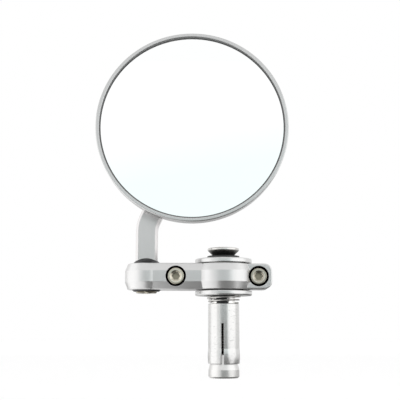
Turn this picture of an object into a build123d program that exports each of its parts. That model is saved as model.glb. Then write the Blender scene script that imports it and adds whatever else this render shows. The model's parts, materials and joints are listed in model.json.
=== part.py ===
from build123d import *

import math
import os

# A round bar end mirror. Its clamp arm swings on a spool at the end of a handlebar, a ball in the
# arm carries the mirror's stem, and an expanding plug under the spool grips the inside of the bar.
# Sizes are in millimetres. The bar's axis is Z, the bar's end face is the plane Z = 0, the arm
# points to -X and the mirror looks towards -Y.

# Spool: a core with a flange at each end, and the arm between the flanges
flange_diameter = 23.6
lower_flange_thickness = 1.9
upper_flange_thickness = 1.9
flange_outer_rounding = 0.6
flange_inner_rounding = 0.3
core_diameter = 16.0
core_neck_diameter = 13.3
core_neck_rise = 1.2
core_nose_diameter = 9.5
core_nose_overlap = 2.0
arm_gap_below = 0.5
arm_gap_above = 0.15
press_gap = 0.03

# Clamp arm: an eye round the ball, a web, a boss round the core and a lug, split in two halves
arm_height = 10.7
arm_reach = 31.9
arm_bevel_height = 3.1
arm_bevel_depth = 1.2
arm_edge_rounding = 0.5
arm_split = 0.6
eye_wall = 0.85
web_thickness = 16.8
boss_wall = 4.35
bore_clearance = 0.05
lug_thickness = 12.4
lug_height_step = 0.15
lug_corner_radius = 3.2
lug_edge_rounding = 0.5
lug_screw_offset = 1.8
lug_end_margin = 5.5
web_screw_offset = 4.35

# Clamp screws: socket heads in counterbores, threaded into the back half
clamp_screw_diameter = 4.0
clamp_head_diameter = 6.8
clamp_head_height = 4.0
clamp_head_rounding = 0.4
clamp_key_width = 3.0
clamp_key_depth = 2.2
key_bevel = 0.65
key_bevel_angle = 30.0
clamp_head_gap = 0.75
web_head_recess = 0.6
lug_head_recess = 0.3
clamp_tip_recess = 0.2
screw_clearance = 0.2
thread_clearance = 0.05

# Ball under the stem, and the screw that holds the two together
ball_diameter = 16.0
ball_clearance = 0.08
ball_flat_drop = 6.0
pivot_screw_diameter = 4.0
pivot_head_diameter = 8.6
pivot_head_height = 2.2
pivot_head_stand = 0.75
pivot_head_rounding = 0.6
pivot_head_gap = 0.15
pivot_key_width = 2.5
pivot_key_depth = 1.2
pivot_thread_length = 7.0
pivot_hole_spare = 0.5

# Stem: a bevelled bar that stands on the ball, bends over and ends in a pad behind the mirror
stem_width = 9.0
stem_thickness = 6.0
stem_bevel = 1.0
stem_foot_clearance = 0.7
stem_corner_rise = 16.1
stem_bend_radius = 12.6
pad_diameter = 22.0
pad_screw_spacing = 11.0
pad_screw_diameter = 4.0
pad_screw_head_diameter = 7.5
pad_screw_lip = 0.3
pad_screw_bite = 4.0
pad_key_width = 2.5
pad_key_depth = 1.6

# Mirror: a turned dish with a rim, and a slightly domed glass in a soft ring inside it
mirror_diameter = 79.4
mirror_offset = 18.9
mirror_rise = 55.7
housing_depth = 11.0
housing_wall = 1.6
housing_back_rise = 2.4
housing_back_bulge = 0.9
housing_shoulder_radius = 3.0
housing_rim_rounding = 0.45
housing_rim_inner_rounding = 0.25
housing_boss_step = 0.6
housing_boss_margin = 1.0
housing_boss_cover = 1.0
rim_width = 1.5
glass_recess = 1.15
glass_thickness = 2.0
glass_dome_radius = 800.0
glass_edge_gap = 0.05
bed_thickness = 0.6
bed_width = 2.6
bed_lip = 0.3
bed_lip_drop = 0.2

# Expanding plug: a slit sleeve, a cone nut, a countersunk draw bolt and a light spring
sleeve_diameter = 12.8
sleeve_length = 24.2
sleeve_wall = 1.5
sleeve_drop = 3.2
sleeve_top_chamfer = 0.2
sleeve_slit_width = 1.0
sleeve_slit_start = 8.0
sleeve_slit_turn = -6.0
sleeve_flare = 0.18
sleeve_flare_length = 6.0
sleeve_end_rounding = 0.25
cone_diameter = 12.6
cone_taper_length = 6.0
cone_body_length = 3.3
cone_half_angle = 14.0
cone_entry = 3.6
cone_gap = 0.3
cone_edge_chamfer = 0.6
bolt_diameter = 6.0
bolt_head_diameter = 13.1
bolt_lip_height = 0.95
bolt_lip_rounding = 0.45
bolt_head_stand = 2.4
bolt_seat_gap = 0.05
bolt_key_width = 4.0
bolt_key_depth = 3.0
bolt_clearance = 0.2
bolt_tip_inset = 2.4
spring_wire = 0.6
spring_diameter = 14.6
spring_turns = 2.25
spring_recess_depth = 0.5
spring_recess_margin = 0.8
spring_end_gap = 0.05

# Heights and places that follow from the sizes above
arm_bottom = lower_flange_thickness + arm_gap_below
arm_top = arm_bottom + arm_height
arm_middle = (arm_bottom + arm_top) / 2
upper_flange_bottom = arm_top + arm_gap_above
upper_flange_top = upper_flange_bottom + upper_flange_thickness
core_top = upper_flange_top + core_neck_rise

flange_radius = flange_diameter / 2
core_radius = core_diameter / 2
core_neck = core_neck_diameter / 2
core_nose = core_nose_diameter / 2
boss_radius = core_radius + bore_clearance + boss_wall
ball_radius = ball_diameter / 2
eye_radius = ball_radius + ball_clearance + eye_wall
web_half = web_thickness / 2
lug_half = lug_thickness / 2
web_screw_x = -arm_reach + ball_radius + web_screw_offset
lug_screw_x = boss_radius + lug_screw_offset
lug_end = lug_screw_x + lug_end_margin
ball_place = Pos(-arm_reach, 0, arm_middle)

stem_half = stem_thickness / 2
stem_foot = arm_top + stem_foot_clearance
stem_corner = arm_top + stem_corner_rise
mirror_x = -arm_reach + mirror_offset
mirror_z = arm_top + mirror_rise
mirror_radius = mirror_diameter / 2
# In the mirror's own frame height 0 is the front of the stem's pad, and +Z looks out of the glass.
mirror_place = Pos(mirror_x, -stem_half, mirror_z) * Rot(90, 0, 0)
stem_lean = math.atan2(mirror_offset, mirror_z - stem_corner)
pad_screw_places = [
    mirror_place * Pos(side * math.sin(stem_lean), side * math.cos(stem_lean), 0)
    for side in (-pad_screw_spacing / 2, pad_screw_spacing / 2)
]

glass_front = housing_depth - glass_recess
glass_back = glass_front - glass_thickness
ledge_height = glass_back - bed_thickness
rim_inner = mirror_radius - rim_width
bed_inner = rim_inner - bed_lip
glass_radius = bed_inner - glass_edge_gap
ledge_inner = rim_inner - bed_width
housing_boss = pad_diameter / 2 + housing_boss_margin

sleeve_radius = sleeve_diameter / 2
sleeve_bore = sleeve_radius - sleeve_wall
sleeve_top = -sleeve_drop
sleeve_bottom = sleeve_top - sleeve_length
cone_radius = cone_diameter / 2
cone_slope = math.tan(math.radians(cone_half_angle))
cone_top = sleeve_bottom + cone_entry
cone_shoulder = cone_top - cone_taper_length
cone_bottom = cone_shoulder - cone_body_length
bolt_radius = bolt_diameter / 2
bolt_seat_mouth = bolt_head_diameter / 2 - bolt_head_stand + bolt_seat_gap
bolt_head_top = core_top + bolt_head_stand + bolt_lip_height
bolt_tip = cone_bottom + bolt_tip_inset


def turned(*outline):
    """A body turned about Z, from the (radius, height) corners and arcs of its half section."""
    return revolve(make_face(Plane.XZ * Curve(outline)), Axis.Z)


def corners(*points):
    """A closed chain of straight lines through (radius, height) points."""
    return Polyline(*points, close=True)


def rod(radius, low, high):
    """A round bar about Z between two heights."""
    return Pos(0, 0, low) * Cylinder(radius, high - low, align=(Align.CENTER, Align.CENTER, Align.MIN))


def ring_edge(body, height, radius):
    """The circular edge of a turned body at a height and a radius."""
    near = body.edges().filter_by(GeomType.CIRCLE)
    return near.sort_by(lambda edge: abs(edge.arc_center.Z - height) + abs(edge.radius - radius))[0]


def key_socket(width, depth):
    """The hexagonal hole for a key, going down from height 0, with a wide shallow bevel at its mouth."""
    hexagon = extrude(RegularPolygon(width / 2, 6, major_radius=False), 2 * depth)
    mouth = width / math.sqrt(3) + key_bevel
    point = width / 3
    drop = (mouth - point) * math.tan(math.radians(key_bevel_angle))
    bevel = Cone(point, mouth, drop, align=(Align.CENTER, Align.CENTER, Align.MAX))
    return Pos(0, 0, -depth) * hexagon + bevel


def cap_screw(diameter, length, head_diameter, head_height, rounding, key_width, key_depth):
    """A screw with a round head: the head stands on height 0 and the shank hangs below it."""
    head = rod(head_diameter / 2, 0, head_height)
    head = fillet(ring_edge(head, head_height, head_diameter / 2), rounding)
    return head + rod(diameter / 2, -length, 0) - Pos(0, 0, head_height) * key_socket(key_width, key_depth)


def countersunk_screw(diameter, length, head_diameter, lip, rounding, key_width, key_depth):
    """A screw with a 90 degree countersunk head, whose flat top is at height 0."""
    radius = diameter / 2
    head = head_diameter / 2
    blank = turned(
        corners(
            (0, 0),
            (head, 0),
            (head, -lip),
            (radius, -lip - head + radius),
            (radius, -length),
            (0, -length),
        )
    )
    blank = fillet(ring_edge(blank, 0, head), rounding)
    return blank - key_socket(key_width, key_depth)


def spool_core():
    """Dark core of the spool: the arm turns on its barrel and the bolt's head seats in its top."""
    bore = bolt_radius + bolt_clearance
    nose_end = sleeve_top - core_nose_overlap
    return turned(
        corners(
            (bore, nose_end),
            (core_nose, nose_end),
            (core_nose, lower_flange_thickness),
            (core_radius, lower_flange_thickness),
            (core_radius, upper_flange_bottom),
            (core_neck, upper_flange_bottom),
            (core_neck, core_top),
            (bolt_seat_mouth, core_top),
            (bore, core_top - bolt_seat_mouth + bore),
        )
    )


def upper_flange():
    """Plain round washer over the arm, pressed on the core's neck."""
    ring = rod(flange_radius, upper_flange_bottom, upper_flange_top)
    ring = fillet(ring_edge(ring, upper_flange_top, flange_radius), flange_outer_rounding)
    ring = fillet(ring_edge(ring, upper_flange_bottom, flange_radius), flange_inner_rounding)
    return ring - rod(core_neck + press_gap, upper_flange_bottom, upper_flange_top)


def lower_flange():
    """Washer that rests on the bar's end, with a shallow recess underneath for the spring."""
    ring = rod(flange_radius, 0, lower_flange_thickness)
    ring = fillet(ring_edge(ring, 0, flange_radius), flange_outer_rounding)
    ring = fillet(ring_edge(ring, lower_flange_thickness, flange_radius), flange_inner_rounding)
    ring -= rod(core_nose + press_gap, 0, lower_flange_thickness)
    return ring - rod(spring_diameter / 2 + spring_recess_margin, 0, spring_recess_depth)


def bevelled_section(half):
    """Half of the arm's section, from its middle plane out: a flat band between two bevels."""
    face = make_face(
        corners(
            (0, arm_bottom),
            (half - arm_bevel_depth, arm_bottom),
            (half, arm_bottom + arm_bevel_height),
            (half, arm_top - arm_bevel_height),
            (half - arm_bevel_depth, arm_top),
            (0, arm_top),
        )
    )
    edges = [v for v in face.vertices() if abs(v.X - half + arm_bevel_depth) < arm_bevel_depth / 2]
    return fillet(edges, arm_edge_rounding)


def clamp_hole(x, half, head_recess):
    """Counterbore and clearance hole in the front half, and the threaded hole behind them."""
    counterbore = clamp_head_diameter / 2 + clamp_head_gap
    floor = half - head_recess - clamp_head_height
    hole = rod(counterbore, floor, half + clamp_head_height)
    hole += rod(clamp_screw_diameter / 2 + screw_clearance, 0, floor)
    hole += rod(clamp_screw_diameter / 2 + thread_clearance, -half - clamp_head_height, 0)
    return Pos(x, 0, arm_middle) * Rot(90, 0, 0) * hole


def split_side(side):
    """The room on one side of the arm's split: -1 is the front and 1 the back."""
    reach = 2 * (arm_reach + eye_radius + lug_end)
    return Pos(0, side * (arm_split + reach) / 2, 0) * Box(reach, reach, reach)


def clamp_arm():
    """The arm's front and back halves, each with half of the ball's socket and of the core's bore."""
    eye = Pos(-arm_reach, 0, 0) * revolve(Plane.XZ * bevelled_section(eye_radius), Axis.Z)
    boss = revolve(Plane.XZ * bevelled_section(boss_radius), Axis.Z)
    web_side = extrude(Plane.YZ * bevelled_section(web_half), -arm_reach)
    web = web_side + mirror(web_side, Plane.XZ)
    lug_outline = RectangleRounded(lug_end, arm_height - 2 * lug_height_step, lug_corner_radius)
    lug = extrude(Plane.XZ * Pos(lug_end / 2, arm_middle) * lug_outline, lug_half, both=True)
    lug_rims = lug.faces().sort_by(Axis.Y)
    lug = fillet(lug_rims[0].edges() + lug_rims[-1].edges(), lug_edge_rounding)
    blank = eye + web + boss + lug
    blank -= ball_place * Sphere(ball_radius + ball_clearance)
    blank -= rod(core_radius + bore_clearance, arm_bottom, arm_top)
    blank -= clamp_hole(web_screw_x, web_half, web_head_recess)
    blank -= clamp_hole(lug_screw_x, lug_half, lug_head_recess)
    return blank & split_side(-1), blank & split_side(1)


def clamp_screw(x, half, head_recess):
    """A socket screw that pulls the arm's halves together, ending just short of the back face."""
    seat = half - head_recess - clamp_head_height
    screw = cap_screw(
        clamp_screw_diameter,
        seat + half - clamp_tip_recess,
        clamp_head_diameter,
        clamp_head_height,
        clamp_head_rounding,
        clamp_key_width,
        clamp_key_depth,
    )
    return Pos(x, -seat, arm_middle) * Rot(90, 0, 0) * screw


def pivot_seat():
    """How far under the ball's centre its screw's head sits."""
    return ball_flat_drop + pivot_head_stand - pivot_head_height


def pivot_tip():
    """How far over the ball's centre its screw ends, inside the stem."""
    return ball_radius + pivot_thread_length


def pivot_ball():
    """Black ball with a flat underneath, bored and counterbored for its screw."""
    ball = Sphere(ball_radius) - Pos(0, 0, -ball_flat_drop) * Box(
        ball_diameter, ball_diameter, ball_diameter, align=(Align.CENTER, Align.CENTER, Align.MAX)
    )
    ball -= rod(pivot_screw_diameter / 2 + thread_clearance, -ball_radius, ball_radius)
    ball -= rod(pivot_head_diameter / 2 + pivot_head_gap, -ball_radius, -pivot_seat())
    return ball_place * ball


def pivot_screw():
    """Screw with a low round head, up through the ball into the stem."""
    screw = cap_screw(
        pivot_screw_diameter,
        pivot_seat() + pivot_tip(),
        pivot_head_diameter,
        pivot_head_height,
        pivot_head_rounding,
        pivot_key_width,
        pivot_key_depth,
    )
    return ball_place * Pos(0, 0, -pivot_seat()) * Rot(180, 0, 0) * screw


def mirror_stem():
    """Bevelled bar from the ball to the middle of the mirror's back, where it widens to a round pad."""
    run = Plane.XZ * FilletPolyline(
        (-arm_reach, stem_foot), (-arm_reach, stem_corner), (mirror_x, mirror_z), radius=stem_bend_radius
    )
    section = Rectangle(stem_width, stem_thickness)
    section = chamfer(section.vertices(), stem_bevel)
    bar = sweep(Pos(-arm_reach, 0, stem_foot) * section, run)
    pad = rod(pad_diameter / 2, -stem_thickness, 0)
    pad = chamfer(ring_edge(pad, -stem_thickness, pad_diameter / 2), stem_bevel)
    stem = bar + mirror_place * pad
    stem -= ball_place * Sphere(ball_radius + ball_clearance)
    stem -= ball_place * rod(pivot_screw_diameter / 2 + thread_clearance, 0, pivot_tip() + pivot_hole_spare)
    for place in pad_screw_places:
        stem -= place * pad_screw_space(screw_clearance)
    return stem


def pad_screw_space(clearance):
    """A countersunk screw's place in the pad and the housing's boss, wider all round by a clearance."""
    radius = pad_screw_diameter / 2 + clearance
    head = pad_screw_head_diameter / 2 + clearance
    low = -stem_thickness - pad_screw_lip
    return turned(
        corners(
            (0, low),
            (head, low),
            (head, -stem_thickness + pad_screw_lip),
            (radius, -stem_thickness + pad_screw_lip + head - radius),
            (radius, pad_screw_bite + clearance),
            (0, pad_screw_bite + clearance),
        )
    )


def pad_screw(place):
    """Countersunk screw through the pad into the housing's boss, its head flush with the pad's back."""
    screw = countersunk_screw(
        pad_screw_diameter,
        stem_thickness + pad_screw_bite,
        pad_screw_head_diameter,
        pad_screw_lip,
        pad_screw_lip / 2,
        pad_key_width,
        pad_key_depth,
    )
    return place * Pos(0, 0, -stem_thickness) * Rot(180, 0, 0) * screw


def bulged(start, end, bulge):
    """An arc from one (radius, height) point to another, pushed towards the back by its bulge."""
    return SagittaArc(start, end, bulge)


def mirror_housing():
    """Turned dish: a boss for the stem's pad, a bulged back, a round shoulder, a rim and a ledge in it."""
    boss_top = pad_screw_bite + housing_boss_cover
    floor = housing_boss_step + housing_wall
    ledge_floor = housing_back_rise + housing_wall
    body = turned(
        Polyline(
            (housing_boss, housing_boss_step),
            (housing_boss, 0),
            (0, 0),
            (0, boss_top),
            (housing_boss, boss_top),
            (housing_boss, floor),
        ),
        bulged((housing_boss, floor), (ledge_inner, ledge_floor), -housing_back_bulge),
        Polyline(
            (ledge_inner, ledge_floor),
            (ledge_inner, ledge_height),
            (rim_inner, ledge_height),
            (rim_inner, housing_depth),
            (mirror_radius, housing_depth),
            (mirror_radius, housing_back_rise),
        ),
        bulged((mirror_radius, housing_back_rise), (housing_boss, housing_boss_step), housing_back_bulge),
    )
    body = fillet(ring_edge(body, housing_back_rise, mirror_radius), housing_shoulder_radius)
    body = fillet(ring_edge(body, housing_depth, mirror_radius), housing_rim_rounding)
    body = fillet(ring_edge(body, housing_depth, rim_inner), housing_rim_inner_rounding)
    body = mirror_place * body
    for place in pad_screw_places:
        body -= place * pad_screw_space(thread_clearance)
    return body


def domed_glass():
    """Convex mirror glass of even thickness, its edge below the rim."""
    sagitta = glass_dome_radius - math.sqrt(glass_dome_radius**2 - glass_radius**2)
    half_way = glass_dome_radius - math.sqrt(glass_dome_radius**2 - glass_radius**2 / 4)

    def dome(edge):
        return ThreePointArc(
            (0, edge + sagitta), (glass_radius / 2, edge + sagitta - half_way), (glass_radius, edge)
        )

    glass = turned(
        dome(glass_back),
        Line((glass_radius, glass_back), (glass_radius, glass_front)),
        dome(glass_front),
        Line((0, glass_front + sagitta), (0, glass_back + sagitta)),
    )
    return mirror_place * glass


def glass_bed():
    """Soft ring that beds the glass on the housing's ledge, with a lip between the glass and the rim."""
    outer = rim_inner - press_gap
    lip_top = housing_depth - bed_lip_drop
    ring = turned(
        corners(
            (ledge_inner, ledge_height),
            (outer, ledge_height),
            (outer, lip_top),
            (bed_inner, lip_top),
            (bed_inner, glass_back),
            (ledge_inner, glass_back),
        )
    )
    return mirror_place * ring


def expander_sleeve():
    """Sleeve slit into four fingers by two saw cuts, bulged a little where the cone sits in its mouth."""
    mouth = cone_radius - cone_slope * (sleeve_bottom - cone_shoulder) + cone_gap
    taper_top = sleeve_bottom + (mouth - sleeve_bore) / cone_slope
    flare_top = sleeve_bottom + sleeve_flare_length
    body = turned(
        Polyline(
            (sleeve_radius, flare_top),
            (sleeve_radius, sleeve_top - sleeve_top_chamfer),
            (sleeve_radius - sleeve_top_chamfer, sleeve_top),
            (sleeve_bore, sleeve_top),
            (sleeve_bore, taper_top),
            (mouth, sleeve_bottom),
            (sleeve_radius, sleeve_bottom),
        ),
        ThreePointArc(
            (sleeve_radius, sleeve_bottom),
            (sleeve_radius + sleeve_flare, (sleeve_bottom + flare_top) / 2),
            (sleeve_radius, flare_top),
        ),
    )
    body = fillet(ring_edge(body, sleeve_bottom, sleeve_radius), sleeve_end_rounding)
    slit_length = sleeve_length - sleeve_slit_start
    cut = Pos(0, 0, sleeve_bottom) * Box(sleeve_slit_width, 2 * sleeve_diameter, 2 * slit_length)
    for turn in (sleeve_slit_turn, sleeve_slit_turn + 90):
        body -= Rot(0, 0, turn) * cut
    return body


def cone_nut():
    """Tapered nut that the bolt draws up into the sleeve."""
    bore = bolt_radius + thread_clearance
    return turned(
        corners(
            (bore, cone_bottom),
            (cone_radius - cone_edge_chamfer, cone_bottom),
            (cone_radius, cone_bottom + cone_edge_chamfer),
            (cone_radius, cone_shoulder),
            (cone_radius - cone_slope * cone_taper_length, cone_top),
            (bore, cone_top),
        )
    )


def draw_bolt():
    """Countersunk bolt through the core and the sleeve, most of its head standing proud of the core."""
    bolt = countersunk_screw(
        bolt_diameter,
        bolt_head_top - bolt_tip,
        bolt_head_diameter,
        bolt_lip_height,
        bolt_lip_rounding,
        bolt_key_width,
        bolt_key_depth,
    )
    return Pos(0, 0, bolt_head_top) * bolt


def sleeve_spring():
    """Light coil between the lower flange and the sleeve, narrowing to sit on the sleeve's end."""
    wire = spring_wire / 2
    low = sleeve_top + spring_end_gap + wire
    high = spring_recess_depth - spring_end_gap - wire
    wide = spring_diameter / 2 - wire
    narrow = (sleeve_radius + sleeve_bore) / 2 + wire
    coil = Helix(
        pitch=(high - low) / spring_turns,
        height=high - low,
        radius=narrow,
        center=(0, 0, low),
        cone_angle=math.degrees(math.atan2(wide - narrow, high - low)),
    )
    section = Plane(origin=coil @ 0, z_dir=coil % 0) * Circle(wire)
    return sweep(section, coil, is_frenet=True)


arm_front, arm_back = clamp_arm()
pieces = {
    "spool_core": spool_core(),
    "upper_flange": upper_flange(),
    "lower_flange": lower_flange(),
    "arm_front": arm_front,
    "arm_back": arm_back,
    "web_screw": clamp_screw(web_screw_x, web_half, web_head_recess),
    "lug_screw": clamp_screw(lug_screw_x, lug_half, lug_head_recess),
    "pivot_ball": pivot_ball(),
    "pivot_screw": pivot_screw(),
    "mirror_stem": mirror_stem(),
    "pad_screw_lower": pad_screw(pad_screw_places[0]),
    "pad_screw_upper": pad_screw(pad_screw_places[1]),
    "mirror_housing": mirror_housing(),
    "mirror_glass": domed_glass(),
    "glass_bed": glass_bed(),
    "expander_sleeve": expander_sleeve(),
    "cone_nut": cone_nut(),
    "draw_bolt": draw_bolt(),
    "sleeve_spring": sleeve_spring(),
}

os.makedirs("parts", exist_ok=True)
for name, piece in pieces.items():
    export_step(piece, f"parts/{name}.step")
    print(name, round(piece.volume, 1), "mm3")
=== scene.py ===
# %% [markdown]
# A round mirror for the end of a motorcycle's handlebar. Its shape comes ready made as solids,
# one node for each real piece, and this lesson dresses them: finishes, a finer bolt and glass,
# light and a camera. First the scene is cleared of Blender's starting cube, lamp and camera,
# because they would count in the measured size.

# %% Load the frame
import bpy
import json
import math
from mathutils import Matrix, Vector

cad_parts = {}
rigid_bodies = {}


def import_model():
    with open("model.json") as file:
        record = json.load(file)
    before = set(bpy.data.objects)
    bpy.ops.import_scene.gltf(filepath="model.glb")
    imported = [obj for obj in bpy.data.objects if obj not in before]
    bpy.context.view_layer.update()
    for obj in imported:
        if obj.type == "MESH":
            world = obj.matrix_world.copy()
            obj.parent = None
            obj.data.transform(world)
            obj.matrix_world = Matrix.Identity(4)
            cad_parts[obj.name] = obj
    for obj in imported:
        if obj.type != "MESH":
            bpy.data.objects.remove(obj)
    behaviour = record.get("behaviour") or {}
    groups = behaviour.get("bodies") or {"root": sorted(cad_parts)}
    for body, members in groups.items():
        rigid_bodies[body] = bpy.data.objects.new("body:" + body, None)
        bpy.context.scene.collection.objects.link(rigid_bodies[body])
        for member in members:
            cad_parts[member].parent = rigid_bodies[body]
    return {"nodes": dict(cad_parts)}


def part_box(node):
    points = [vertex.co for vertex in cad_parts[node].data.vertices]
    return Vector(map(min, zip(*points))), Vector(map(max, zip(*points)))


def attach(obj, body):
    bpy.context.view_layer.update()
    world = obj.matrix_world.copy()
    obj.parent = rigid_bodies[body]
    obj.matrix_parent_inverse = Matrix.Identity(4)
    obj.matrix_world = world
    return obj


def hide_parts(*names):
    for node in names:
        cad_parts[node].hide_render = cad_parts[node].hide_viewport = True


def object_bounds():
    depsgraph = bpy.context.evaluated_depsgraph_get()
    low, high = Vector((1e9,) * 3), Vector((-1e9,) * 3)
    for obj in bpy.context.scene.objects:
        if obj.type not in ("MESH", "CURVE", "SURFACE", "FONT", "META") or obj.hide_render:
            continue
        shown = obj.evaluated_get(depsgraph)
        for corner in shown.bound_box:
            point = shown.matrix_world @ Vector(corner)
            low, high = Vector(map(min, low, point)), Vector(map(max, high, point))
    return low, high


for leftover in list(bpy.data.objects):
    bpy.data.objects.remove(leftover)

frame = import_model()
cad_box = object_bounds()
nodes = frame["nodes"]
scene = bpy.context.scene
print("nodes:", len(nodes), "box:", [round(1000 * c, 1) for corner in cad_box for c in corner])

# %% [markdown]
# Distances on the drawing are millimetres and Blender counts in metres, so one short name turns
# the first into the second. Finishes refer to a few places, such as the mirror's middle and the
# two clamp screws' axes, and these are read from the nodes' own boxes.

# %% Places on the part
MM = 0.001


def box_mm(node):
    """Low and high corner of a node's box in millimetres."""
    low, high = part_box(node)
    return low / MM, high / MM


def middle(node):
    """Middle of a node's box in millimetres."""
    low, high = box_mm(node)
    return (low + high) / 2


mirror_middle = middle("mirror_glass")
clamp_screws = ("web_screw", "lug_screw")
print("mirror's middle, mm:", [round(c, 2) for c in mirror_middle])

# %% [markdown]
# Finishes are written as node trees. Python's own signs for sums and products read better than
# lists of Math nodes, so a small class wraps a socket and turns each sign into a node. Its method
# "node" adds any other kind of node: settings first, then the values or links of its sockets.

# %% A socket that does arithmetic


class Shade:
    """An output socket in a node tree, or the tree alone, with operators that add Math nodes."""

    def __init__(self, tree, socket=None):
        self.tree = tree
        self.socket = socket

    def node(self, kind, settings=None, values=None, output=0):
        made = self.tree.nodes.new(kind)
        for key, value in (settings or {}).items():
            if key == "stops":
                self.set_stops(made.color_ramp, value)
            else:
                setattr(made, key, value)
        for key, value in (values or {}).items():
            if isinstance(value, Shade):
                self.tree.links.new(value.socket, made.inputs[key])
            else:
                made.inputs[key].default_value = value
        return Shade(self.tree, made.outputs[output] if made.outputs else None)

    @staticmethod
    def set_stops(ramp, stops):
        while len(ramp.elements) < len(stops):
            ramp.elements.new(1.0)
        for element, (place, colour) in zip(ramp.elements, stops):
            element.position = place
            element.color = colour

    def math(self, operation, first, second=0.0):
        return self.node("ShaderNodeMath", {"operation": operation}, {0: first, 1: second})

    def __add__(self, other):
        return self.math("ADD", self, other)

    __radd__ = __add__

    def __sub__(self, other):
        return self.math("SUBTRACT", self, other)

    def __rsub__(self, other):
        return self.math("SUBTRACT", other, self)

    def __mul__(self, other):
        return self.math("MULTIPLY", self, other)

    __rmul__ = __mul__

    def __truediv__(self, other):
        return self.math("DIVIDE", self, other)

    def __rtruediv__(self, other):
        return self.math("DIVIDE", other, self)

    def __gt__(self, other):
        return self.math("GREATER_THAN", self, other)

    def __lt__(self, other):
        return self.math("LESS_THAN", self, other)

    def sqrt(self):
        return self.math("SQRT", self)

    def clamp(self, low, high):
        held = self.math("MAXIMUM", self, low)
        return held.math("MINIMUM", held, high)


print("operators ready")

# %% [markdown]
# Every finish starts in the same way: a new material, its Principled shader, and the piece's own
# coordinates in millimetres, so that a grain of a tenth of a millimetre is written as 0.1. The
# nodes sit at the frame's origin, so object coordinates are the drawing's coordinates and they
# travel with the piece when it moves.

# %% Start of a finish
BEVEL_SAMPLES = 8
EDGE_GAIN = 8.0


class Finish:
    """A material in the making: coordinates to paint by, and a shader that takes what they give."""

    def __init__(self, name):
        self.material = bpy.data.materials.new(name)
        self.material.use_nodes = True
        tree = self.material.node_tree
        tree.nodes.clear()
        self.tree = Shade(tree)
        self.place = self.tree.node("ShaderNodeTexCoord", output="Object")
        split = {"Vector": self.place}
        self.x = self.tree.node("ShaderNodeSeparateXYZ", values=split, output="X") / MM
        self.y = self.tree.node("ShaderNodeSeparateXYZ", values=split, output="Y") / MM
        self.z = self.tree.node("ShaderNodeSeparateXYZ", values=split, output="Z") / MM

    def noise(self, size, detail=2.0, stretch=(1.0, 1.0, 1.0)):
        """Cloudy values from 0 to 1, with blots about that many millimetres wide."""
        scale = [s / (size * MM) for s in stretch]
        spread = self.tree.node("ShaderNodeMapping", values={"Vector": self.place, "Scale": scale})
        made = {"Vector": spread, "Scale": 1.0, "Detail": detail}
        return self.tree.node("ShaderNodeTexNoise", values=made, output="Fac")

    def lines(self, along, spacing, wobble):
        """Fine tool marks across a coordinate, irregular as from a lathe."""
        across = self.tree.node("ShaderNodeCombineXYZ", values={"X": along / spacing + wobble * 2.0})
        made = {"Vector": across, "Scale": 1.0, "Detail": 1.0}
        return self.tree.node("ShaderNodeTexNoise", values=made, output="Fac")

    def distance(self, first, second):
        """Distance from an axis, from the two coordinates across it."""
        return (first * first + second * second).sqrt()

    def blend(self, share, first, second):
        """A colour between two, by a share from 0 to 1."""
        ends = [(0.0, (*first, 1.0)), (1.0, (*second, 1.0))]
        return self.tree.node("ShaderNodeValToRGB", {"stops": ends}, {"Fac": share}, "Color")

    def cover(self, share, below, colour):
        """A painted colour over another one, by a share from 0 to 1."""
        made = {0: share, 6: below, 7: (*colour, 1.0)}
        return self.tree.node("ShaderNodeMix", {"data_type": "RGBA"}, made, 2)

    def eased(self, radius):
        """Normals that turn softly over sharp edges, as if each edge were broken by that radius."""
        made = {"Radius": radius * MM}
        return self.tree.node("ShaderNodeBevel", {"samples": BEVEL_SAMPLES}, made, "Normal")

    def edges(self, radius):
        """A share that is 1 along sharp edges and 0 on flat faces."""
        true = self.tree.node("ShaderNodeNewGeometry", output="Normal")
        made = {0: self.eased(radius), 1: true}
        match = self.tree.node("ShaderNodeVectorMath", {"operation": "DOT_PRODUCT"}, made, "Value")
        return ((1.0 - match) * EDGE_GAIN).clamp(0.0, 1.0)

    def bump(self, height, depth, under=None):
        """A normal tipped by a height map, with the depth of its relief in millimetres."""
        made = {"Strength": 1.0, "Distance": depth * MM, "Height": height}
        if under is not None:
            made["Normal"] = under
        return self.tree.node("ShaderNodeBump", values=made, output="Normal")

    def shade(self, clear=None, **sockets):
        """Joins the shader to the material's output. Names use _ for the blanks of the sockets."""
        values = {key.replace("_", " "): value for key, value in sockets.items()}
        shader = self.tree.node("ShaderNodeBsdfPrincipled", values=values)
        if clear is not None:
            nothing = self.tree.node("ShaderNodeBsdfTransparent")
            shader = self.tree.node("ShaderNodeMixShader", values={0: clear, 1: shader, 2: nothing})
        self.tree.node("ShaderNodeOutputMaterial", values={"Surface": shader})
        return self.material


def scaled(tone, factor):
    """A colour made lighter or darker."""
    return [min(1.0, factor * c) for c in tone]


def dress(material, *names):
    """Gives a finish to CAD nodes."""
    for name in names:
        slots = nodes[name].data.materials
        slots.clear()
        slots.append(material)
    print(material.name, "on", ", ".join(names))


# %% [markdown]
# The arm's halves are bead blasted aluminium: a pale grey without direction, broken by a fine
# grain that catches light. Colour and roughness drift a little over the face, and the edges, which
# hands and cloths rub, are smoother and lighter. The walls of the counterbores round the screw heads
# are painted near black as shade, within their radius of each screw's axis.

# %% Blasted aluminium of the arm
ARM_TONE = (0.67, 0.668, 0.665)
COUNTERBORE_SHADE = (0.006, 0.006, 0.006)
COUNTERBORE_RADIUS = 4.17


def in_counterbores(finish):
    """A share that is 1 near the clamp screws' axes, and so only on the walls of their holes, where
    shade is painted.
    """
    share = 0.0
    for name in clamp_screws:
        axis = middle(name)
        near = finish.distance(finish.x - axis.x, finish.z - axis.z) < COUNTERBORE_RADIUS
        share = near + share
    return share.clamp(0.0, 1.0)


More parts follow.
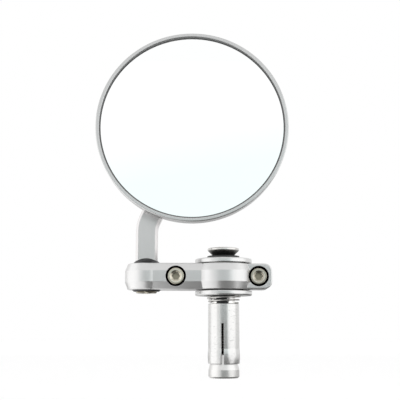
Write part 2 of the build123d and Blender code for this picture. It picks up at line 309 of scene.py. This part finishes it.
def blasted_aluminium(name, tone, roughness):
    finish = Finish(name)
    grain = finish.noise(size=0.22, detail=3.0)
    drift = finish.noise(size=9.0)
    worn = finish.edges(radius=0.25)
    # Painted shade: the counterbores' walls turn near black round each screw.
    counterbore_shade = in_counterbores(finish)
    metal = finish.blend(drift * 0.6 + grain * 0.4, scaled(tone, 0.95), scaled(tone, 1.05))
    metal = finish.cover(worn * 0.5, metal, scaled(tone, 1.12))
    return finish.shade(
        Base_Color=finish.cover(counterbore_shade, metal, COUNTERBORE_SHADE),
        Metallic=1.0,
        Roughness=roughness - 0.05 + drift * 0.06 + grain * 0.06 - worn * 0.08 + counterbore_shade * 0.3,
        Normal=finish.bump(grain, depth=0.008, under=finish.eased(radius=0.2)),
    )


dress(blasted_aluminium("arm_blasted", ARM_TONE, roughness=0.34), "arm_front", "arm_back")

# %% [markdown]
# The stem, the flanges and the mirror's housing are the same metal with a smoother satin skin.
# Turned pieces keep very fine rings from the lathe, which follow the distance from the axis they
# were turned about: the bar's axis for the flanges and the mirror's own axis for the housing. The
# stem was drawn through a mill, so its marks run along it.

# %% Satin and turned aluminium
STEM_TONE = (0.635, 0.622, 0.62)
FLANGE_TONE = (0.66, 0.66, 0.655)
HOUSING_TONE = (0.58, 0.582, 0.58)


def satin_aluminium(name, tone, roughness, axis=None):
    finish = Finish(name)
    drift = finish.noise(size=7.0)
    grain = finish.noise(size=0.3, stretch=(1.0, 1.0, 0.12))
    worn = finish.edges(radius=0.2)
    relief = grain
    if axis is not None:
        radius = finish.distance(*axis(finish))
        relief = finish.lines(radius, spacing=0.12, wobble=drift * 0.2) * 0.7 + grain * 0.3
    metal = finish.blend(drift * 0.7 + relief * 0.3, scaled(tone, 0.96), scaled(tone, 1.04))
    return finish.shade(
        Base_Color=finish.cover(worn * 0.4, metal, scaled(tone, 1.15)),
        Metallic=1.0,
        Roughness=roughness - 0.04 + drift * 0.05 + relief * 0.05 - worn * 0.05,
        Normal=finish.bump(relief, depth=0.003, under=finish.eased(radius=0.12)),
    )


def about_bar(finish):
    """Coordinates across the bar's axis."""
    return finish.x, finish.y


def about_mirror(finish):
    """Coordinates across the mirror's axis."""
    return finish.x - mirror_middle.x, finish.z - mirror_middle.z


dress(satin_aluminium("stem_satin", STEM_TONE, roughness=0.3), "mirror_stem")
flange_satin = satin_aluminium("flange_turned", FLANGE_TONE, roughness=0.27, axis=about_bar)
dress(flange_satin, "upper_flange", "lower_flange")
housing_satin = satin_aluminium("housing_turned", HOUSING_TONE, roughness=0.27, axis=about_mirror)
dress(housing_satin, "mirror_housing")

# %% [markdown]
# The ball and the spool's core are black anodised. The dye sits in a thin clear oxide skin, so the
# metal shows as a nearly black, slightly glossy surface rather than a mirror. The sides of the
# core's nose, below the lower flange, are rubbed bare by the spring, up to blots of black grease.

# %% Black anodised pieces
DYE_DARK = (0.006, 0.006, 0.007)
DYE_LIGHT = (0.014, 0.014, 0.015)
DYE_WORN = (0.09, 0.09, 0.09)
NOSE_TOP = -0.8
GREASE_MIDDLE = -0.6
GREASE_REACH = 2.4
BARE_TONE = (0.9, 0.89, 0.87)


def rubbed_bare(finish):
    """A share that is 1 on the sides of the core's nose and ends in blots towards its middle."""
    blots = finish.noise(size=1.2) - 0.5
    beyond = finish.distance(finish.x - GREASE_MIDDLE, 0.0) + blots * 4.0 - GREASE_REACH
    return (finish.z < NOSE_TOP) * (beyond * 2.0).clamp(0.0, 1.0)


def black_anodised(name, roughness, has_nose=False):
    finish = Finish(name)
    drift = finish.noise(size=3.0)
    grain = finish.noise(size=0.15)
    worn = finish.edges(radius=0.2)
    bare = rubbed_bare(finish) if has_nose else 0.0
    black = finish.blend(drift, DYE_DARK, DYE_LIGHT)
    black = finish.cover(worn * 0.3, black, DYE_WORN)
    return finish.shade(
        Base_Color=finish.cover(bare, black, BARE_TONE),
        Metallic=bare,
        Roughness=roughness + drift * 0.08 + grain * 0.04 - bare * 0.16,
        Normal=finish.bump(grain, depth=0.003, under=finish.eased(radius=0.1)),
    )


dress(black_anodised("ball_black", roughness=0.34), "pivot_ball")
dress(black_anodised("core_black", roughness=0.4, has_nose=True), "spool_core")

# %% [markdown]
# Small screws, nut and spring are plated steel: bright, a little warm, and smooth enough to show
# dark and light shapes around them. The sleeve is bright turned aluminium with lathe marks that
# run round it, so they follow its height, and with short scratches from being pushed into bars.

# %% Plated steel and the bright sleeve
NICKEL_TONE = (0.62, 0.58, 0.48)
STEEL_TONE = (0.64, 0.63, 0.61)
NUT_TONE = (0.71, 0.705, 0.695)
SLEEVE_TONE = (0.68, 0.676, 0.668)
SCRATCH_LEVEL = 0.66


def plated_steel(name, tone, roughness, mark_spacing, scratched=0.0):
    finish = Finish(name)
    drift = finish.noise(size=2.5)
    marks = finish.lines(finish.z, mark_spacing, wobble=drift * 0.3)
    metal = finish.blend(drift * 0.6 + marks * 0.4, scaled(tone, 0.92), scaled(tone, 1.06))
    streaks = finish.noise(size=2.2, detail=1.0, stretch=(1.0, 1.0, 5.0))
    metal = finish.cover((streaks > SCRATCH_LEVEL) * scratched, metal, scaled(tone, 0.6))
    worn = finish.edges(radius=0.12)
    return finish.shade(
        Base_Color=finish.cover(worn * 0.5, metal, scaled(tone, 1.25)),
        Metallic=1.0,
        Roughness=roughness - 0.03 + drift * 0.04 + marks * 0.05,
        Normal=finish.bump(marks, depth=0.003, under=finish.eased(radius=0.08)),
    )


pad_screw_nickel = plated_steel("pad_screw_nickel", NICKEL_TONE, roughness=0.2, mark_spacing=0.2)
dress(pad_screw_nickel, "pad_screw_lower", "pad_screw_upper")
dress(plated_steel("nut_turned", NUT_TONE, roughness=0.31, mark_spacing=0.15), "cone_nut")
sleeve_turned = plated_steel(
    "sleeve_turned", SLEEVE_TONE, roughness=0.24, mark_spacing=0.12, scratched=0.35
)
dress(sleeve_turned, "expander_sleeve")
dress(plated_steel("spring_wire", STEEL_TONE, roughness=0.22, mark_spacing=0.3), "sleeve_spring")

# %% [markdown]
# The pivot screw under the ball is bright too, but a blotchy share of its head is painted dark, as
# shade under the ball.

# %% Pivot screw with painted shade
BLOT_LEVEL = 0.36
BLOT_EDGE = 6.0
UNDER_BALL_SHADE = (0.05, 0.045, 0.03)


def shade_blotched_steel(name):
    finish = Finish(name)
    blots = finish.noise(size=1.4, detail=3.0, stretch=(0.6, 1.0, 2.0))
    # Painted shade: blots of the head turn dark.
    shade_blots = ((blots - BLOT_LEVEL) * BLOT_EDGE).clamp(0.0, 1.0)
    metal = finish.blend(blots, scaled(NICKEL_TONE, 0.9), scaled(NICKEL_TONE, 1.3))
    return finish.shade(
        Base_Color=finish.cover(shade_blots * 0.92, metal, UNDER_BALL_SHADE),
        Metallic=1.0,
        Roughness=0.16 + shade_blots * 0.15,
        Normal=finish.bump(blots, depth=0.04, under=finish.eased(radius=0.2)),
    )


dress(shade_blotched_steel("pivot_screw_shaded"), "pivot_screw")

# %% [markdown]
# The two clamp screws face the camera, so they get a closer look: rings on the head's face from
# turning, a rougher socket painted darker as shade, a painted dark reflection in the upper part
# of the socket's mouth, and a bright line round it, painted highlight with edge wear. Each screw
# needs a finish of its own, because the rings follow its own axis, and the one in the lug is
# painted darker as shade.

# %% Clamp screws
SOCKET_RADIUS = 1.8
SOCKET_START = 0.9
MOUTH_RADIUS = 2.45
GLINT_RING_WIDTH = 0.3
SOCKET_SHADE = (0.3, 0.275, 0.21)
MOUTH_DARK_REFLECTION = (0.12, 0.115, 0.075)
GLINT_AND_WEAR = (0.95, 0.93, 0.88)
SCREW_SHADE = {"web_screw": 0.95, "lug_screw": 0.72}


def socket_screw(name, node):
    finish = Finish(name)
    axis = middle(node)
    face = box_mm(node)[0].y
    # Painted shade: each screw's tone is scaled down, the lug's most.
    tone = scaled(NICKEL_TONE, SCREW_SHADE[node])
    radius = finish.distance(finish.x - axis.x, finish.z - axis.z)
    rings = finish.lines(radius, spacing=0.14, wobble=0.0)
    drift = finish.noise(size=1.5)
    inside = (radius < SOCKET_RADIUS) * (finish.y > face + SOCKET_START)
    metal = finish.blend(drift * 0.5 + rings * 0.5, scaled(tone, 0.78), scaled(tone, 1.05))
    # Painted shade: the socket below its mouth is darker.
    metal = finish.cover(inside * 0.8, metal, SOCKET_SHADE)
    # Painted dark reflection: the upper part of the socket's mouth is darkened.
    high = ((finish.z - axis.z) / MOUTH_RADIUS + (drift - 0.5) * 0.8).clamp(0.0, 1.0)
    metal = finish.cover((radius < MOUTH_RADIUS) * high * 0.8, metal, MOUTH_DARK_REFLECTION)
    # Painted highlight with edge wear: a bright ring at the mouth's edge and along sharp edges.
    glint_ring = (1.0 - finish.distance(radius - MOUTH_RADIUS, 0.0) / GLINT_RING_WIDTH).clamp(0.0, 1.0)
    worn = (finish.edges(radius=0.25) + glint_ring * drift * 1.2).clamp(0.0, 1.0)
    return finish.shade(
        Base_Color=finish.cover(worn * 0.75, metal, GLINT_AND_WEAR),
        Metallic=1.0,
        Roughness=0.16 + drift * 0.05 + rings * 0.05 + inside * 0.15,
        Normal=finish.bump(rings, depth=0.004, under=finish.eased(radius=0.1)),
    )


for node in clamp_screws:
    dress(socket_screw(node + "_nickel", node), node)

# %% [markdown]
# Two pieces get a finer mesh than the solid's. Both are turned, so one helper spins a half section
# about an axis. A section is a list of radius and height, from the middle of the top to the middle
# of the bottom. A radius may also be a function of the angle, which makes hexagons and threads.

# %% Spin a section
SHARP_ANGLE = math.radians(25.0)


def spun(name, section, steps, place):
    """A closed body from a section in millimetres, put in the frame by a function of its points."""
    verts = []
    faces = []
    rings = []
    for radius, height in section:
        count = 1 if radius == 0 else steps
        rings.append((len(verts), count))
        for step in range(count):
            turn = 2 * math.pi * step / count
            reach = radius(turn) if callable(radius) else radius
            spot = Vector((reach * math.cos(turn), reach * math.sin(turn), height))
            verts.append(place(spot) * MM)
    for (a, a_count), (b, b_count) in zip(rings, rings[1:]):
        for step in range(steps):
            after = (step + 1) % steps
            corners = [a + step % a_count, a + after % a_count, b + after % b_count, b + step % b_count]
            faces.append(list(dict.fromkeys(corners)))
    mesh = bpy.data.meshes.new(name)
    mesh.from_pydata(verts, [], faces)
    mesh.shade_smooth()
    mesh.set_sharp_from_angle(angle=SHARP_ANGLE)
    body = bpy.data.objects.new(name, mesh)
    scene.collection.objects.link(body)
    print(name, "faces:", len(faces))
    return body


# %% [markdown]
# The first is the long bolt, which shows its thread through the sleeve's slits. Its section starts
# in the hexagonal key hole, goes over the rounded rim and down the countersunk cone, and the
# thread climbs round the shank: at each height the crest lies at another angle.

# %% Section of the threaded bolt
RIM_HEIGHT = 0.95
RIM_ROUNDING = 0.45
RIM_STEPS = 4
KEY_WIDTH = 4.0
KEY_DEPTH = 3.0
KEY_MOUTH = 2.96
KEY_BEVEL = 0.5
SHANK_RADIUS = 3.0
THREAD_ROOT = 2.4
THREAD_PITCH = 1.0
THREAD_TOP = -6.0
RINGS_PER_PITCH = 10
BOLT_STEPS = 48

bolt_low, bolt_high = box_mm("draw_bolt")
head_radius = (bolt_high.x - bolt_low.x) / 2


def hexagon(turn):
    """Radius of the key hole at an angle."""
    sixth = math.pi / 3
    return KEY_WIDTH / 2 / math.cos(turn % sixth - sixth / 2)


def thread_at(height):
    """Radius of the thread round the shank at a height, as a function of the angle."""
    run_in = min(1.0, (THREAD_TOP - height) / THREAD_PITCH)

    def radius(turn):
        phase = (height / THREAD_PITCH - turn / (2 * math.pi)) % 1.0
        groove = 1.0 - 2.0 * abs(phase - 0.5)
        return SHANK_RADIUS - (SHANK_RADIUS - THREAD_ROOT) * groove * run_in

    return radius


section = [(0, -KEY_DEPTH), (hexagon, -KEY_DEPTH), (hexagon, -KEY_BEVEL), (KEY_MOUTH, 0.0)]
for step in range(RIM_STEPS + 1):
    lean = math.pi / 2 * step / RIM_STEPS
    inset = RIM_ROUNDING * (1.0 - math.sin(lean))
    section.append((head_radius - inset, RIM_ROUNDING * (math.cos(lean) - 1.0)))
section.append((head_radius, -RIM_HEIGHT))
section.append((SHANK_RADIUS, -RIM_HEIGHT - head_radius + SHANK_RADIUS))
section = [(radius, bolt_high.z + height) for radius, height in section]
ring_count = int((THREAD_TOP - bolt_low.z) / THREAD_PITCH * RINGS_PER_PITCH)
for step in range(ring_count + 1):
    height = THREAD_TOP + (bolt_low.z - THREAD_TOP) * step / ring_count
    section.append((thread_at(height), height))
section.append((0, bolt_low.z))

bolt = spun("threaded_bolt", section, BOLT_STEPS, lambda spot: spot)
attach(bolt, "bolt")
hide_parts("draw_bolt")

# %% [markdown]
# The bolt is blackened steel. Only the rim and top of its head were turned bright again, and the
# thread's crests have lost some black to the nut.

# %% Blackened bolt
BRIGHT_HEIGHT = 1.35
BRIGHT_FADE = 0.5
OXIDE_DARK = (0.12, 0.12, 0.118)
OXIDE_LIGHT = (0.2, 0.194, 0.182)
CREST_TONE = (0.55, 0.53, 0.5)
CREST_WIDTH = 0.2


def blackened_bolt(name):
    finish = Finish(name)
    drift = finish.noise(size=2.0)
    bright = ((finish.z - bolt_high.z + BRIGHT_HEIGHT) / BRIGHT_FADE).clamp(0.0, 1.0)
    radius = finish.distance(finish.x, finish.y)
    crest = (radius > SHANK_RADIUS - CREST_WIDTH) * (finish.z < THREAD_TOP)
    black = finish.blend(drift, OXIDE_DARK, OXIDE_LIGHT)
    black = finish.cover(crest * 0.9, black, CREST_TONE)
    return finish.shade(
        Base_Color=finish.cover(bright, black, STEEL_TONE),
        Metallic=1.0,
        Roughness=0.34 - bright * 0.16 + drift * 0.06,
        Normal=finish.eased(radius=0.08),
    )


bolt.data.materials.append(blackened_bolt("bolt_black"))
print("bolt_black on", bolt.name)

# %% [markdown]
# The second is the glass. The solid's facets would show in a mirror image, so the same dome is spun
# with finer rings and with the ground edge that keeps glass from cutting fingers.

# %% Finer glass
DOME_RADIUS = 800.0
GLASS_THICKNESS = 2.0
GROUND_EDGE = 0.2
GLASS_RINGS = 24
GLASS_STEPS = 192


def dome_height(radius):
    """How far the dome at a radius lies behind its middle."""
    return math.sqrt(DOME_RADIUS**2 - radius**2) - DOME_RADIUS


glass_low, glass_high = box_mm("mirror_glass")
glass_radius = (glass_high.x - glass_low.x) / 2
flat_radius = glass_radius - GROUND_EDGE
radii = [flat_radius * step / GLASS_RINGS for step in range(GLASS_RINGS + 1)]
section = [(radius, dome_height(radius)) for radius in radii]
section.append((glass_radius, dome_height(glass_radius) - GROUND_EDGE))
section.append((glass_radius, dome_height(glass_radius) - GLASS_THICKNESS))
section += [(radius, dome_height(radius) - GLASS_THICKNESS) for radius in reversed(radii)]
glass_pole = Vector((mirror_middle.x, glass_low.y, mirror_middle.z))


def facing_forward(spot):
    """Turns the dome's axis to the way the mirror looks and puts it in its place."""
    return glass_pole + Vector((spot.x, -spot.z, spot.y))


glass = spun("fine_glass", section, GLASS_STEPS, facing_forward)
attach(glass, "head")
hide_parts("mirror_glass")
print("glass radius, mm:", round(glass_radius, 2))

# %% [markdown]
# The glass is silvered: a metallic shader without any roughness. Real mirrors are never perfectly
# clean, so a faint haze drifts over the face. The ring around the glass is soft black rubber.

# %% Mirror glass and its ring
WHITE = (1.0, 1.0, 1.0)
GLASS_HAZE = (0.985, 1.0, 1.0)
RUBBER_DARK = (0.12, 0.122, 0.121)
RUBBER_LIGHT = (0.17, 0.173, 0.172)


def silvered_glass(name):
    finish = Finish(name)
    haze = finish.noise(size=24.0, detail=3.0)
    return finish.shade(
        Base_Color=finish.blend(haze, GLASS_HAZE, WHITE),
        Metallic=1.0,
        Roughness=0.0,
    )


def soft_rubber(name):
    finish = Finish(name)
    grain = finish.noise(size=0.25, detail=3.0)
    return finish.shade(
        Base_Color=finish.blend(grain, RUBBER_DARK, RUBBER_LIGHT),
        Roughness=0.7 + grain * 0.15,
        Normal=finish.bump(grain, depth=0.01),
    )


glass.data.materials.append(silvered_glass("glass_silvered"))
print("glass_silvered on", glass.name)
dress(soft_rubber("ring_rubber"), "glass_bed")

# %% [markdown]
# The room is white all round, which is what metal and glass need to look clean. The floor is a
# pale sheet some way under the part, which in use is held in a handlebar and not by a floor. A faint
# glow, which the camera and reflections see but which lights nothing, keeps its far edge from
# showing against the white. Near the part the sheet is painted a little greyer, a painted pool of
# shade that also lets its real shadow show.

# %% World and floor
FLOOR_DROP = 27.0
FLOOR_REACH = 3000.0
FLOOR_GLOW = 0.03
SHADED_PAPER = (0.88, 0.88, 0.88)
SHADOW_REACH = 35.0
SHADOW_FADE = 80.0
BACKGROUND_RAYS = ("Is Camera Ray", "Is Glossy Ray", "Is Transmission Ray")

scene.view_settings.view_transform = "Standard"
world = bpy.data.worlds.new("white_room")
scene.world = world
world.use_nodes = True
world.node_tree.nodes.clear()
air = Shade(world.node_tree)
sky = air.node("ShaderNodeBackground", values={"Color": (*WHITE, 1.0), "Strength": 1.0})
air.node("ShaderNodeOutputWorld", values={"Surface": sky})


def sheet(name, corners):
    """A sheet through four corners in millimetres, for the set around the object."""
    mesh = bpy.data.meshes.new(name)
    mesh.from_pydata([Vector(corner) * MM for corner in corners], [], [(0, 1, 2, 3)])
    made = bpy.data.objects.new(name, mesh)
    scene.collection.objects.link(made)
    return made


level = cad_box[0].z / MM - FLOOR_DROP
quarters = ((-1, -1), (1, -1), (1, 1), (-1, 1))
floor = sheet("floor", [(x * FLOOR_REACH, y * FLOOR_REACH, level) for x, y in quarters])
paper = Finish("floor_paper")
fibre = paper.noise(size=40.0)
# Painted shade: the paper is greyer within reach of the part.
away = ((paper.distance(paper.x, paper.y) - SHADOW_REACH) / SHADOW_FADE).clamp(0.0, 1.0)
seen = [paper.tree.node("ShaderNodeLightPath", output=ray) for ray in BACKGROUND_RAYS]
floor.data.materials.append(
    paper.shade(
        Base_Color=paper.blend(away * 0.9 + fibre * 0.1, SHADED_PAPER, WHITE),
        Roughness=0.9,
        Emission_Color=seen[0] + seen[1] + seen[2],
        Emission_Strength=FLOOR_GLOW,
    )
)
print("floor at", round(level, 1), "mm")

# %% [markdown]
# Product photographers light shiny metal with large soft boxes at its sides, which draw the white
# bands down a round bar, and keep the table in front of it darker, which draws the grey band
# between them and darkens every face that looks down. Area lamps are the soft boxes.

# %% Soft boxes


def soft_box(name, place, width, height, watts):
    """An area lamp, with its place and size in metres, that looks level across the part."""
    data = bpy.data.lights.new(name, "AREA")
    data.shape = "RECTANGLE"
    data.size = width
    data.size_y = height
    data.energy = watts
    lamp = bpy.data.objects.new(name, data)
    lamp.location = place
    way = Vector((-place[0], 0.0, 0.0))
    lamp.rotation_euler = way.to_track_quat("-Z", "Y").to_euler()
    lamp.visible_camera = False
    scene.collection.objects.link(lamp)
    print(name, "gives", watts, "W")


soft_box("left_box", place=(-0.12, -0.03, -0.04), width=0.14, height=0.28, watts=0.056)
soft_box("right_box", place=(0.45, -0.42, 0.08), width=0.92, height=0.6, watts=0.87)

# %% [markdown]
# The dark table is two grey cards that only reflections see: one lies under the part, a little
# over the floor, and one starts there and rises slowly towards the camera. A paler one lies behind
# the part, for the faces that look down and back. All three are clear to the perfectly sharp rays
# of the mirror, which would show their outlines.

# %% Cards for the reflections


def unseen_card(name, corners, material):
    """A four cornered sheet, in millimetres, that shows in reflections only."""
    card = sheet(name, corners)
    card.visible_camera = False
    card.visible_diffuse = False
    card.visible_shadow = False
    card.data.materials.append(material)
    print(name, "of", material.name)


def felt(name, tone):
    """Cloth of a plain tone, which perfectly sharp reflections don't show."""
    cloth = Finish(name)
    nap = cloth.noise(size=3.0)
    colour = cloth.blend(nap, scaled(tone, 0.94), scaled(tone, 1.06))
    in_mirror = cloth.tree.node("ShaderNodeLightPath", output="Is Singular Ray")
    return cloth.shade(clear=in_mirror, Base_Color=colour, Roughness=0.9)


LOW = -57
FRONT = -40
BACK = 200
LEFT = -20
table_felt = felt("table_felt", (0.2, 0.2, 0.197))
table = [(LEFT, FRONT, LOW), (60, FRONT, LOW), (330, -750, 30), (-350, -750, 30)]
unseen_card("table_card", table, table_felt)
under = [(LEFT, FRONT, LOW), (400, FRONT, LOW), (400, BACK, LOW), (LEFT, BACK, LOW)]
unseen_card("under_card", under, table_felt)
behind = [(-500, BACK, LOW), (500, BACK, LOW), (500, 1300, -25), (-500, 1300, -25)]
unseen_card("back_card", behind, felt("back_felt", (0.6, 0.6, 0.6)))

# %% [markdown]
# The last card stands high behind the camera and is very pale blue at its foot, so the mirror's
# lower half shows it as a faint cool tint. It gives its own light, so lamps don't change its tone.

# %% Cool card
COOL = (0.91, 1.0, 1.0)
COOL_SLOPE = -0.2
COOL_UP_TO = 200.0
WHITE_FROM = 340.0


def cool_light(name):
    """A glow that is cool at its foot and white higher up, along a slanting line."""
    glow = Finish(name)
    height = glow.z + glow.x * COOL_SLOPE
    share = ((height - COOL_UP_TO) / (WHITE_FROM - COOL_UP_TO)).clamp(0.0, 1.0)
    colour = glow.blend(share, COOL, WHITE)
    return glow.shade(Base_Color=(0.0, 0.0, 0.0, 1.0), Emission_Color=colour, Emission_Strength=1.0)


upright = [(-800, -1000, 20), (800, -1000, 20), (800, -1000, 520), (-800, -1000, 520)]
unseen_card("cool_card", upright, cool_light("cool_glow"))

# %% [markdown]
# The photograph was taken from a little below the arm, looking up. How much of the arm's underside
# shows gives the camera's height, and how much the mirror's circle is squashed gives its distance.

# %% Camera
CAMERA_PLACE = Vector((-9.74, -330.0, -14.0))
CAMERA_PITCH = math.radians(9.32)
LENS = 71.41
SENSOR_WIDTH = 36.0
CLIP_START = 10.0

camera_data = bpy.data.cameras.new("camera")
camera_data.lens = LENS
camera_data.sensor_width = SENSOR_WIDTH
camera_data.clip_start = CLIP_START * MM
camera = bpy.data.objects.new("camera", camera_data)
camera.location = CAMERA_PLACE * MM
camera.rotation_euler = (math.pi / 2 + CAMERA_PITCH, 0.0, 0.0)
scene.collection.objects.link(camera)
scene.camera = camera
print("camera at, mm:", [round(c, 1) for c in CAMERA_PLACE])
